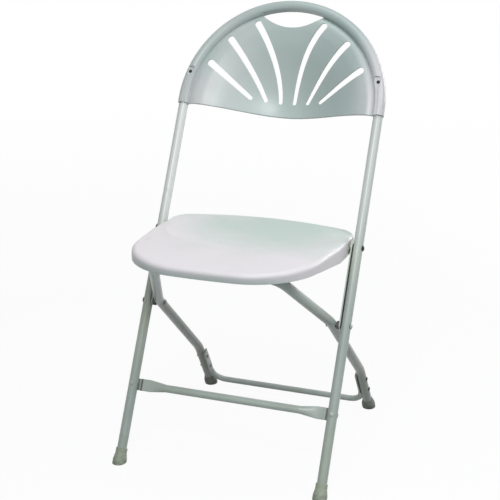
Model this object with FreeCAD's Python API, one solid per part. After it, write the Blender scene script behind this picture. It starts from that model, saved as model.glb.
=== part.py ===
import FreeCAD, Part
import os
from math import asin, atan, cos, hypot, pi, radians, sin, sqrt, tan

# Folding chair with a fan back.  The sitter faces -Y, +Z is up, and X = 0 is the
# plane of symmetry.  The origin lies on the floor, midway between the foremost and
# the rearmost point.  The two front tubes run straight from the floor up into the
# moulded back.  The bent rear frame turns on them at the leg pivots, the seat turns
# on them at the seat pivots, and the top of the rear frame carries the seat's front.

V = FreeCAD.Vector
X_AXIS = V(1, 0, 0)
Y_AXIS = V(0, 1, 0)
Z_AXIS = V(0, 0, 1)
SIDES = {"left": -1, "right": 1}

# --- tubes -------------------------------------------------------------------
TUBE_D = 19.0            # front tubes and rear frame
TUBE_WALL = 1.2
FRONT_HALF_SPAN = 205.0  # middle plane to the axis of a front tube
LEAN = 27.5              # degrees that the front tubes lean back from upright
TUBE_END_UP = 8.0        # start of each tube above the floor, along the tube
SAME_BODY_GAP = 0.1      # around a tube in a moulded socket
SMALLEST_EDGE = 0.001
RING_POINTS = 24
CURVE_STEPS = 6
ROUND = 2.0              # exponent of a round section, for a ring of the given squareness

# --- heights along the front tubes, from the floor ---------------------------
BRACE_UP = 155.0
LEG_PIVOT_UP = 322.5
SEAT_PIVOT_UP = 473.0
BACK_BOTTOM_UP = 734.0
ARCH_CENTRE_UP = 746.0   # centre of the sleeve's arch and of the tubes' bent tops
FAN_CENTRE_UP = 742.0    # centre of the bowl, the slots and the hand hold
TUBE_ARC = 28.0          # degrees of arch that the tube's bent top follows

# --- moulded back ------------------------------------------------------------
SLEEVE_WALL = 1.5        # round sleeve over the tubes and on over the crown
SLEEVE_NOSE = 3.0        # how much further the sleeve reaches in front than behind
WEB_T = 3.2
BOWL_FLOOR = 52.0        # how far the bowl's middle lies behind the tube plane
BOWL_EDGE = -9.0         # where the bowl would run out, in front of the tube plane
BOWL_REACH_IN = 10.0     # that run-out, inside the tubes' line
BOWL_STATIONS = 8
MARGIN_IN = 27.0         # the web's margin starts to roll back here, inside the tubes' line
MARGIN_ROLL = 25.0
MARGIN_LAP = 6.5         # how deep the margin's edge lies in the sleeve
LIP_HEIGHT = 6.0
LIP_T = 8.0
CHANNEL_W = 9.0          # groove in the crown's back
CHANNEL_FLOOR = -7.0
CHANNEL_START = 38.0     # degrees above the arch's spring line
SLOT_COUNT = 3           # on each side of the middle
SLOT_FOOT_UP = 764.5
SLOT_FIRST_X = 15.0
SLOT_PITCH_X = 30.0
SLOT_HEAD_IN = 24.0      # innermost slot's head inside the tubes' line
SLOT_HEAD_DROP = 1.0     # further in, by the square of the slot's number
SLOT_FIRST_ANGLE = 22.6  # from upright
SLOT_PITCH_ANGLE = 20.3
SLOT_BOW = 12.0          # bulge of the innermost slot, fading to none outwards
SLOT_BOW_FADE = 1.3
SLOT_FOOT_W = 8.5
SLOT_HEAD_W = 14.0
GRIP_HALF_W = 67.0
GRIP_TOP_IN = 4.0        # top of the hand hold inside the tubes' line
GRIP_DROP_R = 98.0
GRIP_ROUND = 3.0
BACK_SCREW_ANGLE = 15.2
BACK_SCREW_D = 4.0
BACK_SCREW_HEAD_D = 7.0
BACK_SCREW_HEAD_H = 2.2
BACK_SCREW_L = 15.0
RECESS_W = 1.0           # cross recess in the screw's head
RECESS_L = 4.4
RECESS_DEPTH = 1.2
POCKET_W = 13.0          # pocket for the screw's head
POCKET_H = 22.0
POCKET_IN = 1.5          # its middle inside the screw
POCKET_WALL = 1.2        # left between the pocket and the tube's socket
SLEEVE_FACET_W = 9.0     # flat below the pocket, on the inner half of the sleeve's front
SLEEVE_FACET_DEPTH = 2.3

# --- front brace -------------------------------------------------------------
BRACE_D = 15.0
BRACE_WALL = 1.2
BRACE_FLAT_T = 3.5
BRACE_FLAT_W = 23.5
BRACE_SQUARENESS = 5.0
BRACE_FLAT_L = 33.0      # flattened from here to the axis of the front tube
BRACE_TAPER = 34.0       # length over which it turns round
BRACE_OVERHANG = 8.0     # past the axis of the front tube

# --- pivots ------------------------------------------------------------------
PIVOT_D = 6.0
PIVOT_RUNNING_GAP = 0.075
PIVOT_HEAD_D = 12.0
PIVOT_HEAD_H = 3.0
SIDE_GAP = 0.3           # between parts that turn on each other
STRAP_T = 2.5
STRAP_W = 16.0
SPACER_D = 16.0
LEG_SPACER_T = 5.4
SEAT_WASHER_T = 2.2

# --- rear frame --------------------------------------------------------------
REAR_SPLAY = 4.5         # lower bend outside the tuck
REAR_FOOT_SPLAY = 2.5    # foot outside the lower bend
REAR_BEND_Y = 347.1      # behind the front feet
REAR_BEND_Z = 115.4
REAR_FOOT_Y = 422.6
REAR_BEND_R = 100.0
TUCK_START = 12.0        # past the leg pivot, where the frame turns inwards
TUCK_R = 60.0
CROSS_Y = -5.0
CROSS_CORNER_IN = 57.5   # corner of the cross run inside the tuck
CROSS_R = 45.0

# --- rear brace --------------------------------------------------------------
REAR_BRACE_D = 12.5
REAR_BRACE_UP = 21.5     # height of its run above the floor, along the rear leg
REAR_BRACE_TOP = 121.0
REAR_BRACE_R = 30.0
REAR_BRACE_FLAT_T = 5.0
REAR_BRACE_FLAT_W = 18.5
REAR_BRACE_NEST = 0.9    # centre of the flattened arm past the leg's side
REAR_BRACE_TAPER = 11.0  # length over which the arm turns from round to flat
REAR_BRACE_SQUARENESS = 3.0
REAR_BRACE_LAP = 1.0     # the arm's start inside the round run
REAR_RIVET_UPS = (69.0, 106.0)

# --- small fasteners ---------------------------------------------------------
RIVET_D = 5.0
RIVET_HEAD_D = 9.5
RIVET_HEAD_H = 2.2
HINGE_RIVET_D = 4.0
HINGE_RIVET_HEAD_D = 7.5
HINGE_RIVET_HEAD_H = 1.2
STOP_SCREW_D = 4.0
STOP_SCREW_HEAD_D = 7.6
STOP_SCREW_L = 7.5

# --- feet --------------------------------------------------------------------
FOOT_COLLAR_D = 22.4
FRONT_FOOT_D = 27.4
FRONT_FOOT_H = 28.0
FRONT_SOLE_H = 6.0       # straight side of the sole, along the tube
FRONT_NECK_UP = 18.0     # where the flare meets the collar
REAR_FOOT_D = 28.0
REAR_FOOT_H = 30.0
REAR_BULGE_UP = 5.0      # widest ring of the rounded cap
REAR_SOLE_IN = 2.0       # how far the sole draws in below it
GROOVE_UP = 12.5
GROOVE_W = 1.6
GROOVE_DEPTH = 0.8
REAR_SHOULDER_UP = 20.0
REAR_SHOULDER_IN = 1.2
REAR_NECK_UP = 25.0
FOOT_EDGE = 0.8          # bevel at a cap's upper edge
FOOT_SPILL = 16.0        # length cut away by the floor

# --- seat --------------------------------------------------------------------
SEAT_OVER_SLIDE = 11.6   # top above the runners' sliding face
SEAT_WALL = 3.4
SEAT_SIDE_OUT = 3.0      # widest side outside the hinge plates' inner face
SEAT_FRONT_Y = -64.5
SEAT_FRONT_CORNER_Y = -50.0
SEAT_FRONT_CORNER_IN = 19.0
SEAT_WAIST_Y = 150.0
SEAT_REAR_CORNER_Y = 262.0
SEAT_REAR_CORNER_IN = 0.5
SEAT_REAR_Y = 297.0
SEAT_FRONT_R = 130.0
SEAT_REAR_R = 42.0
SEAT_EDGE_R = 9.0
SEAT_SPILL = 30.0        # how far the side view's profile runs past the seat
SEAT_CROWN = 1.5
SEAT_CROWN_Y = 60.0
SEAT_FRONT_DROP = 3.0
SEAT_DROP_Y = 20.0       # behind the front edge, where half the drop is left
SKIRT_FRONT_H = 20.0     # skirt's lower edge under the top, at the front
SKIRT_SIDE_H = 32.0
SKIRT_REAR_H = 24.0
SKIRT_YS = (40.0, 150.0, 244.0, 262.0)   # front, start and end of the deep side, rear
DISH_DEPTH = 7.4
DISH_MARGIN = 26.0       # dish inside the widest side
DISH_HALF_L = 105.0
DISH_Y = 182.0
DISH_BALL_H = 78.0       # half height of the oval ball that shapes the dish
RIB_T = 3.0
RIB_XS = (-135.0, -100.0, -20.0, 20.0, 100.0, 135.0)
RIB_YS = (50.0, 110.0, 215.0)
RIB_RELIEF = 0.8         # ribs stay this much above the runners' lower edge
RUNNER_W = 8.0
RUNNER_Y = (40.0, 178.0)

# --- seat hinge plates and stop brackets -------------------------------------
PLATE_T = 2.5
PLATE_L = 46.0
PLATE_H = 24.0
PLATE_RAISE = 1.0        # middle of the plate above the pivot
PLATE_RECESS_GAP = 0.8
PAD_T = 8.0
PAD_MARGIN = 1.5
PAD_HOLE_D = 8.0
HINGE_RIVET_STEP = 15.0
STOP_X = 62.0
STOP_W = 28.0
STOP_T = 2.5
STOP_BACK_Y = 36.0
STOP_LIP = 9.0
STOP_LIP_TURN = 45.0
STOP_BOSS_D = 12.0
STOP_SCREW_YS = (13.0, 27.0)

# --- values worked out from the sizes above ----------------------------------
TUBE_R = TUBE_D / 2
BORE_R = TUBE_R - TUBE_WALL
SLOPE = radians(LEAN)
INNER_SIDE_X = FRONT_HALF_SPAN - TUBE_R
STRAP_X = INNER_SIDE_X - STRAP_T
LEG_PIVOT = V(0, LEG_PIVOT_UP * sin(SLOPE), LEG_PIVOT_UP * cos(SLOPE))
SEAT_PIVOT = V(0, SEAT_PIVOT_UP * sin(SLOPE), SEAT_PIVOT_UP * cos(SLOPE))

SLEEVE_R = TUBE_R + SLEEVE_WALL
BACK_OUTER_R = FRONT_HALF_SPAN + SLEEVE_R
BOWL_REACH = FRONT_HALF_SPAN - BOWL_REACH_IN
MARGIN_R = FRONT_HALF_SPAN - MARGIN_IN
CHANNEL_INNER_R = FRONT_HALF_SPAN - CHANNEL_W / 2
CHANNEL_OUTER_R = FRONT_HALF_SPAN + CHANNEL_W / 2
GRIP_TOP_R = FRONT_HALF_SPAN - GRIP_TOP_IN
POCKET_FLOOR = TUBE_R + SAME_BODY_GAP + POCKET_WALL
BRACE_FLAT_X = FRONT_HALF_SPAN - BRACE_FLAT_L
BRACE_ROUND_X = BRACE_FLAT_X - BRACE_TAPER

REAR_RISE = (LEG_PIVOT.z - REAR_BEND_Z) / (REAR_BEND_Y - LEG_PIVOT.y)
CROSS_Z = LEG_PIVOT.z + (LEG_PIVOT.y - CROSS_Y) * REAR_RISE
SLIDE_Z = CROSS_Z + TUBE_R + SIDE_GAP
LEG_RUN = hypot(REAR_BEND_Y - LEG_PIVOT.y, LEG_PIVOT.z - REAR_BEND_Z) + TUCK_START
LEG_SPLAY = REAR_SPLAY / LEG_RUN
LEG_SWAY = TUBE_R + SIDE_GAP + LEG_SPLAY * SPACER_D / 2
LEG_X = STRAP_X - LEG_SPACER_T - LEG_SWAY
TUCK_X = LEG_X - LEG_SPLAY * TUCK_START
REAR_BEND_X = TUCK_X + REAR_SPLAY
REAR_FOOT_X = REAR_BEND_X + REAR_FOOT_SPLAY
CROSS_CORNER_X = TUCK_X - CROSS_CORNER_IN

PLATE_FACE_X = STRAP_X - SEAT_WASHER_T - SIDE_GAP - PLATE_T
PLATE_MID_Z = SEAT_PIVOT.z + PLATE_RAISE
SEAT_TOP_Z = SLIDE_Z + SEAT_OVER_SLIDE
SEAT_HALF_W = PLATE_FACE_X + SEAT_SIDE_OUT
SEAT_FRONT_CORNER = (SEAT_HALF_W - SEAT_FRONT_CORNER_IN, SEAT_FRONT_CORNER_Y)
SEAT_REAR_CORNER = (SEAT_HALF_W - SEAT_REAR_CORNER_IN, SEAT_REAR_CORNER_Y)
DISH_HALF_W = SEAT_HALF_W - DISH_MARGIN

BACK_MOST_Y = (ARCH_CENTRE_UP + FRONT_HALF_SPAN) * sin(SLOPE) + SLEEVE_R
ORIGIN_Y = (BACK_MOST_Y + SEAT_FRONT_Y) / 2


def export(name, shape):
    """Move the finished piece to the chair's origin and write it."""
    moved = shape.copy()
    moved.translate(V(0, -ORIGIN_Y, 0))
    moved.exportStep("parts/%s.step" % name)


def leaned(shape):
    """Tip a piece drawn beside upright front tubes to the tubes' lean."""
    tipped = shape.copy()
    tipped.rotate(V(0, 0, 0), X_AXIS, -LEAN)
    return tipped


def mirrored(shape):
    """The other side's copy of a piece."""
    return shape.mirror(V(0, 0, 0), X_AXIS)


def on_side(shape, side):
    """A piece drawn at the right (+X), put on the given side."""
    return shape if side > 0 else mirrored(shape)


def fused(shapes):
    """One solid from overlapping or touching shapes, without seams."""
    return shapes[0].multiFuse(shapes[1:]).removeSplitter()


def rod(radius, start, end):
    """A plain round rod between two points."""
    return Part.makeCylinder(radius, (end - start).Length, start, end - start)


def bent_path(points, radii):
    """Straight stretches through the points, with a round bend at each inner one."""
    edges = []
    last = points[0]
    for before, corner, after, radius in zip(points, points[1:], points[2:], radii):
        back = (before - corner).normalize()
        ahead = (after - corner).normalize()
        half_turn = (pi - back.getAngle(ahead)) / 2
        setback = radius * tan(half_turn)
        bisector = (back + ahead).normalize()
        middle = corner + bisector * (radius / cos(half_turn) - radius)
        start = corner + back * setback
        end = corner + ahead * setback
        if (start - last).Length > SMALLEST_EDGE:
            edges.append(Part.LineSegment(last, start).toShape())
        edges.append(Part.Arc(start, middle, end).toShape())
        last = end
    if (points[-1] - last).Length > SMALLEST_EDGE:
        edges.append(Part.LineSegment(last, points[-1]).toShape())
    return Part.Wire(edges)


def swept(path, radius):
    """A round bar along the path."""
    first = path.Edges[0]
    start = first.valueAt(first.FirstParameter)
    heading = first.tangentAt(first.FirstParameter)
    ring = Part.Wire([Part.Circle(start, heading, radius).toShape()])
    return path.makePipeShell([ring], True, False)


def flattened_ring(centre, along, across, width, thickness, squareness):
    """Closed section of a tube pressed to the given width and thickness."""
    side = along.cross(across).normalize()
    points = []
    for step in range(RING_POINTS):
        turn = 2 * pi * step / RING_POINTS
        c, s = cos(turn), sin(turn)
        u = width / 2 * abs(c) ** (2 / squareness) * (1 if c >= 0 else -1)
        w = thickness / 2 * abs(s) ** (2 / squareness) * (1 if s >= 0 else -1)
        points.append(centre + side * u + across * w)
    curve = Part.BSplineCurve()
    curve.interpolate(Points=points, PeriodicFlag=True)
    return Part.Wire([curve.toShape()])


def turned(profile):
    """Solid of revolution about Z from (radius, height) points."""
    face = Part.Face(Part.makePolygon([V(r, 0, z) for r, z in profile + profile[:1]]))
    return face.revolve(V(0, 0, 0), Z_AXIS, 360)


def dome(head_d, head_h):
    """Low round rivet head standing on the plane Z = 0."""
    sphere_r = (head_d ** 2 / 4 + head_h ** 2) / (2 * head_h)
    ball = Part.makeSphere(sphere_r, V(0, 0, head_h - sphere_r))
    return ball.common(Part.makeBox(head_d, head_d, head_h, V(-head_d / 2, -head_d / 2, 0)))


def rivet(length, shank_d, head_d, head_h):
    """Rivet along +Z: one head below Z = 0, the other above Z = length."""
    shank = Part.makeCylinder(shank_d / 2, length)
    far_head = dome(head_d, head_h)
    near_head = far_head.mirror(V(0, 0, 0), Z_AXIS)
    far_head.translate(V(0, 0, length))
    return fused([shank, near_head, far_head])


def aimed(shape, base, direction):
    """A piece drawn along +Z, moved to its base and turned to its direction."""
    turned_shape = shape.copy()
    turned_shape.Placement = FreeCAD.Placement(base, FreeCAD.Rotation(Z_AXIS, direction))
    return turned_shape


# --- front tubes -------------------------------------------------------------
def front_tube_path(start_up, arc_degrees):
    """Axis of the right front tube: straight up, then along the back's arch."""
    spring = V(FRONT_HALF_SPAN, 0, ARCH_CENTRE_UP)

    def on_arch(angle):
        turn = radians(angle)
        return V(FRONT_HALF_SPAN * cos(turn), 0, ARCH_CENTRE_UP + FRONT_HALF_SPAN * sin(turn))

    straight = Part.LineSegment(V(FRONT_HALF_SPAN, 0, start_up), spring).toShape()
    arch = Part.Arc(spring, on_arch(arc_degrees / 2), on_arch(arc_degrees)).toShape()
    return Part.Wire([straight, arch])


def front_leg():
    """Right front tube with the holes for its rivets and its screw."""
    path = front_tube_path(TUBE_END_UP, TUBE_ARC)
    tube = swept(path, TUBE_R).cut(swept(path, BORE_R))
    for up in (LEG_PIVOT_UP, SEAT_PIVOT_UP):
        tube = tube.cut(rod(PIVOT_D / 2, V(0, 0, up), V(2 * FRONT_HALF_SPAN, 0, up)))
    tube = tube.cut(rod(RIVET_D / 2, V(FRONT_HALF_SPAN, -TUBE_D, BRACE_UP),
                        V(FRONT_HALF_SPAN, TUBE_D, BRACE_UP)))
    screw = back_screw_place()
    return tube.cut(rod(BACK_SCREW_D / 2, screw - Y_AXIS * TUBE_D, screw))


def front_foot():
    """Right front cap: a collar that flares to a wide sole, cut level with the floor."""
    sole_r = FRONT_FOOT_D / 2
    collar_r = FOOT_COLLAR_D / 2
    cap = turned([(0, -FOOT_SPILL), (sole_r, -FOOT_SPILL), (sole_r, FRONT_SOLE_H),
                  (collar_r, FRONT_NECK_UP), (collar_r, FRONT_FOOT_H - FOOT_EDGE),
                  (collar_r - FOOT_EDGE, FRONT_FOOT_H), (0, FRONT_FOOT_H)])
    cap.translate(V(FRONT_HALF_SPAN, 0, 0))
    socket = Part.makeCylinder(TUBE_R + SAME_BODY_GAP, FRONT_FOOT_H,
                               V(FRONT_HALF_SPAN, 0, TUBE_END_UP))
    return leaned(cap.cut(socket)).cut(below_floor())


def below_floor():
    """Block that takes away whatever a foot has under the floor."""
    reach = 4 * FRONT_HALF_SPAN
    return Part.makeBox(2 * reach, 2 * reach, reach, V(-reach, -reach, -reach))


# --- moulded back ------------------------------------------------------------
def back_screw_place():
    """Where the right screw meets the axis of the tube's bent top."""
    turn = radians(BACK_SCREW_ANGLE)
    return V(FRONT_HALF_SPAN * cos(turn), 0, ARCH_CENTRE_UP + FRONT_HALF_SPAN * sin(turn))


def sleeve():
    """Round arched sleeve over both tubes, a little longer in front than behind."""
    nose = Y_AXIS * -SLEEVE_NOSE
    inner = V(FRONT_HALF_SPAN - SLEEVE_R, 0, 0)
    outer = V(FRONT_HALF_SPAN + SLEEVE_R, 0, 0)
    tip = V(FRONT_HALF_SPAN, -SLEEVE_R, 0)
    section = Part.Face(Part.Wire([
        Part.LineSegment(inner, inner + nose).toShape(),
        Part.Arc(inner + nose, tip + nose, outer + nose).toShape(),
        Part.LineSegment(outer + nose, outer).toShape(),
        Part.Arc(outer, V(FRONT_HALF_SPAN, SLEEVE_R, 0), inner).toShape()]))
    crown = section.revolve(V(0, 0, 0), Y_AXIS * -1, 180)
    leg = section.extrude(Z_AXIS * (BACK_BOTTOM_UP - ARCH_CENTRE_UP))
    whole = fused([crown, leg, mirrored(leg)])
    whole.translate(Z_AXIS * ARCH_CENTRE_UP)
    return whole


def bowl(front_offset, thickness):
    """Round bowl about the fan's centre, whose margin rolls back into the sleeve."""
    edge = BOWL_EDGE + front_offset
    height = BOWL_FLOOR - BOWL_EDGE
    swing = pi / BOWL_REACH
    climb = atan(height / 2 * swing * sin(swing * MARGIN_R))

    def depth_at(r):
        return edge + height * (1 + cos(swing * r)) / 2

    radii = [MARGIN_R * i / BOWL_STATIONS for i in range(BOWL_STATIONS + 1)]
    front = Part.BSplineCurve()
    front.interpolate(Points=[V(r, depth_at(r), 0) for r in radii],
                      InitialTangent=X_AXIS, FinalTangent=V(cos(climb), -sin(climb), 0))
    hub = V(MARGIN_R, depth_at(MARGIN_R), 0) + V(sin(climb), cos(climb), 0) * MARGIN_ROLL
    finish = asin((FRONT_HALF_SPAN - SLEEVE_R + MARGIN_LAP - hub.x) / MARGIN_ROLL)

    def on_roll(turn):
        return hub + V(sin(turn), -cos(turn), 0) * MARGIN_ROLL

    margin = Part.Arc(on_roll(-climb), on_roll((finish - climb) / 2), on_roll(finish))
    through = Y_AXIS * thickness
    near = [front.toShape(), margin.toShape()]
    far = [part.translated(through) for part in near]
    ends = [Part.LineSegment(point, point + through).toShape()
            for point in (V(0, depth_at(0), 0), on_roll(finish))]
    outline = Part.Wire(Part.__sortEdges__(near + far + ends))
    ring = Part.Face(outline).revolve(V(0, 0, 0), Y_AXIS, 360)
    ring.translate(Z_AXIS * FAN_CENTRE_UP)
    return ring


def above(height, reach):
    """Block that keeps a stretch of the back above its lower edge."""
    return Part.makeBox(4 * BACK_OUTER_R, 4 * BACK_OUTER_R, reach,
                        V(-2 * BACK_OUTER_R, -2 * BACK_OUTER_R, height))


def slot(number):
    """Cutter for one slot of the fan, counted outwards from the middle."""
    head_turn = radians(SLOT_FIRST_ANGLE + SLOT_PITCH_ANGLE * number)
    head_r = FRONT_HALF_SPAN - SLOT_HEAD_IN - SLOT_HEAD_DROP * number ** 2
    foot = V(SLOT_FIRST_X + SLOT_PITCH_X * number, 0, SLOT_FOOT_UP)
    head = V(head_r * sin(head_turn), 0, FAN_CENTRE_UP + head_r * cos(head_turn))
    run = head - foot
    inward = V(-run.z, 0, run.x).normalize()
    bow = SLOT_BOW * (1 - number / (SLOT_COUNT - 1)) ** SLOT_BOW_FADE

    def side_point(part, side):
        half = (SLOT_FOOT_W + (SLOT_HEAD_W - SLOT_FOOT_W) * part) / 2
        return foot + run * part + inward * (4 * bow * part * (1 - part) + side * half)

    def side_curve(side):
        curve = Part.BSplineCurve()
        curve.interpolate([side_point(i / CURVE_STEPS, side) for i in range(CURVE_STEPS + 1)])
        return curve.toShape()

    ahead = V(run).normalize()
    foot_tip = foot - ahead * (SLOT_FOOT_W / 2)
    head_tip = head + ahead * (SLOT_HEAD_W / 2)
    outline = Part.Wire([side_curve(-1),
                         Part.Arc(side_point(1, -1), head_tip, side_point(1, 1)).toShape(),
                         side_curve(1),
                         Part.Arc(side_point(0, 1), foot_tip, side_point(0, -1)).toShape()])
    cutter = Part.Face(outline).extrude(Y_AXIS * 2 * BACK_OUTER_R)
    cutter.translate(Y_AXIS * -BACK_OUTER_R)
    return cutter


def grip():
    """Cutter for the lens-shaped hand hold under the crown."""
    tip_up = FAN_CENTRE_UP + sqrt(GRIP_TOP_R ** 2 - GRIP_HALF_W ** 2)
    drop = GRIP_DROP_R - sqrt(GRIP_DROP_R ** 2 - GRIP_HALF_W ** 2)
    left = V(-GRIP_HALF_W, 0, tip_up)
    right = V(GRIP_HALF_W, 0, tip_up)
    outline = Part.Wire([Part.Arc(left, V(0, 0, FAN_CENTRE_UP + GRIP_TOP_R), right).toShape(),
                         Part.Arc(right, V(0, 0, tip_up - drop), left).toShape()])
    cutter = Part.Face(outline).extrude(Y_AXIS * 4 * SLEEVE_R)
    cutter.translate(Y_AXIS * -2 * SLEEVE_R)
    tips = [e for e in cutter.Edges if abs(abs(e.CenterOfMass.x) - GRIP_HALF_W) < 0.01]
    return cutter.makeFillet(GRIP_ROUND, tips)


def rear_channel():
    """Groove that keeps the crown's wall even, open to the back."""
    depth = SLEEVE_R - CHANNEL_FLOOR
    ring = Part.makeCylinder(CHANNEL_OUTER_R, 2 * depth).cut(
        Part.makeCylinder(CHANNEL_INNER_R, 2 * depth))
    ring.rotate(V(0, 0, 0), X_AXIS, -90)
    ring.translate(V(0, CHANNEL_FLOOR, ARCH_CENTRE_UP))
    start_up = ARCH_CENTRE_UP + CHANNEL_OUTER_R * sin(radians(CHANNEL_START))
    return ring.common(above(start_up, BACK_OUTER_R))


def screw_pocket():
    """Pocket for the right screw's head, and the flat that runs down from it."""
    place = back_screw_place()
    front = -2 * SLEEVE_R
    pocket = Part.makeBox(POCKET_W, 2 * SLEEVE_R - POCKET_FLOOR, POCKET_H,
                          V(place.x - POCKET_IN - POCKET_W / 2, front, place.z - POCKET_H / 2))
    depth = SLEEVE_R - SLEEVE_NOSE + SLEEVE_FACET_DEPTH
    strip = Part.makePlane(SLEEVE_FACET_W, depth,
                           V(FRONT_HALF_SPAN - SLEEVE_FACET_W, front, ARCH_CENTRE_UP))
    straight = strip.extrude(Z_AXIS * (BACK_BOTTOM_UP - ARCH_CENTRE_UP - 1))
    arc = strip.revolve(V(0, 0, ARCH_CENTRE_UP), Y_AXIS * -1, BACK_SCREW_ANGLE)
    return [pocket, straight, arc]


def back():
    """The moulded back: sleeve, bowl-shaped web, lower lip, slots, grip and sockets."""
    slots = [on_side(slot(i), side) for side in SIDES.values() for i in range(SLOT_COUNT)]
    web = bowl(0, WEB_T).common(above(BACK_BOTTOM_UP, BACK_OUTER_R)).cut(slots)
    lip = bowl(WEB_T / 2, LIP_T - WEB_T / 2).common(above(BACK_BOTTOM_UP, LIP_HEIGHT))
    screw = back_screw_place()
    right_cutters = screw_pocket() + [
        swept(front_tube_path(BACK_BOTTOM_UP - 1, TUBE_ARC + SAME_BODY_GAP), TUBE_R + SAME_BODY_GAP),
        rod(BACK_SCREW_D / 2, screw - Y_AXIS * 2 * SLEEVE_R, screw)]
    cutters = [on_side(cutter, side) for side in SIDES.values() for cutter in right_cutters]
    body = sleeve().multiFuse([web, lip])
    return leaned(body.cut(cutters + [rear_channel(), grip()]))


def back_screw():
    """Right pan-head screw through the rim into the tube."""
    place = back_screw_place()
    shank = Part.makeCylinder(BACK_SCREW_D / 2, BACK_SCREW_L)
    head = dome(BACK_SCREW_HEAD_D, BACK_SCREW_HEAD_H).mirror(V(0, 0, 0), Z_AXIS)
    recess = Part.makeBox(RECESS_W, RECESS_L, BACK_SCREW_HEAD_H,
                          V(-RECESS_W / 2, -RECESS_L / 2, RECESS_DEPTH - 2 * BACK_SCREW_HEAD_H))
    cross = recess.copy()
    cross.rotate(V(0, 0, 0), Z_AXIS, 90)
    screw = fused([shank, head]).cut(recess).cut(cross)
    return leaned(aimed(screw, V(place.x, -POCKET_FLOOR, place.z), Y_AXIS))


# --- front brace -------------------------------------------------------------
def front_brace():
    """Round cross tube whose pressed ends lie behind the front tubes."""
    behind = TUBE_R + BRACE_FLAT_T / 2
    end_x = FRONT_HALF_SPAN + BRACE_OVERHANG

    def flat_ring(x):
        return flattened_ring(V(x, behind, BRACE_UP), X_AXIS, Y_AXIS,
                              BRACE_FLAT_W, BRACE_FLAT_T, BRACE_SQUARENESS)

    def round_ring(x):
        return flattened_ring(V(x, behind, BRACE_UP), X_AXIS, Y_AXIS,
                              BRACE_D, BRACE_D, ROUND)

    brace = Part.makeLoft([flat_ring(-end_x), flat_ring(-BRACE_FLAT_X), round_ring(-BRACE_ROUND_X),
                           round_ring(BRACE_ROUND_X), flat_ring(BRACE_FLAT_X), flat_ring(end_x)],
                          True, True)
    end_r = BRACE_FLAT_W / 2
    keep = [Part.makeBox(2 * (end_x - end_r), 2 * TUBE_D, 4 * end_r,
                         V(end_r - end_x, 0, BRACE_UP - 2 * end_r))]
    for side in SIDES.values():
        middle = V(side * (end_x - end_r), 0, BRACE_UP)
        keep.append(rod(end_r, middle, middle + Y_AXIS * 2 * TUBE_D))
    brace = brace.common(fused(keep))
    cutters = [rod(BRACE_D / 2 - BRACE_WALL, V(-BRACE_ROUND_X, behind, BRACE_UP),
                   V(BRACE_ROUND_X, behind, BRACE_UP))]
    for side in SIDES.values():
        cutters.append(rod(RIVET_D / 2, V(side * FRONT_HALF_SPAN, 0, BRACE_UP),
                           V(side * FRONT_HALF_SPAN, 4 * BRACE_D, BRACE_UP)))
    return leaned(brace.cut(cutters))


def front_brace_rivet():
    """Rivet from the front of the right tube through the brace's pressed end."""
    length = TUBE_D + BRACE_FLAT_T
    piece = rivet(length, RIVET_D, RIVET_HEAD_D, RIVET_HEAD_H)
    return leaned(aimed(piece, V(FRONT_HALF_SPAN, -TUBE_R, BRACE_UP), Y_AXIS))


# --- pivots ------------------------------------------------------------------
def hinge_strap():
    """Flat steel strip on the right tube's inner side, between the two pivots."""
    half = STRAP_W / 2
    plate = Part.makeBox(STRAP_T, STRAP_W, SEAT_PIVOT_UP - LEG_PIVOT_UP,
                         V(STRAP_X, -half, LEG_PIVOT_UP))
    ends = [rod(half, V(STRAP_X, 0, up), V(INNER_SIDE_X, 0, up))
            for up in (LEG_PIVOT_UP, SEAT_PIVOT_UP)]
    strap = fused([plate] + ends)
    for up in (LEG_PIVOT_UP, SEAT_PIVOT_UP):
        strap = strap.cut(rod(PIVOT_D / 2, V(0, 0, up), V(FRONT_HALF_SPAN, 0, up)))
    return leaned(strap)


def pivot_ring(thickness, up):
    """Spacer ring on a pivot, between the strap and the part that turns."""
    ring = rod(SPACER_D / 2, V(STRAP_X - thickness, 0, up), V(STRAP_X, 0, up))
    return leaned(ring.cut(rod(PIVOT_D / 2, V(0, 0, up), V(FRONT_HALF_SPAN, 0, up))))


def pivot_rivet(inner_x, up):
    """Pivot rivet from the outer side of the right tube to the given inner face."""
    outer_x = FRONT_HALF_SPAN + TUBE_R
    piece = rivet(outer_x - inner_x, PIVOT_D, PIVOT_HEAD_D, PIVOT_HEAD_H)
    return leaned(aimed(piece, V(outer_x, 0, up), -X_AXIS))


# --- rear frame --------------------------------------------------------------
def rear_leg_points():
    """Foot, lower bend, tuck and cross corner of the right rear leg's axis."""
    foot = V(REAR_FOOT_X, REAR_FOOT_Y, 0)
    bend = V(REAR_BEND_X, REAR_BEND_Y, REAR_BEND_Z)
    tuck_y = LEG_PIVOT.y - TUCK_START / hypot(1, REAR_RISE)
    tuck = V(TUCK_X, tuck_y, LEG_PIVOT.z + (LEG_PIVOT.y - tuck_y) * REAR_RISE)
    corner = V(CROSS_CORNER_X, CROSS_Y, CROSS_Z)
    return foot, bend, tuck, corner


def up_rear_leg(distance):
    """Point on the right rear leg's lower stretch, measured from the floor."""
    foot, bend, tuck, corner = rear_leg_points()
    return foot + (bend - foot).normalize() * distance


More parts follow.
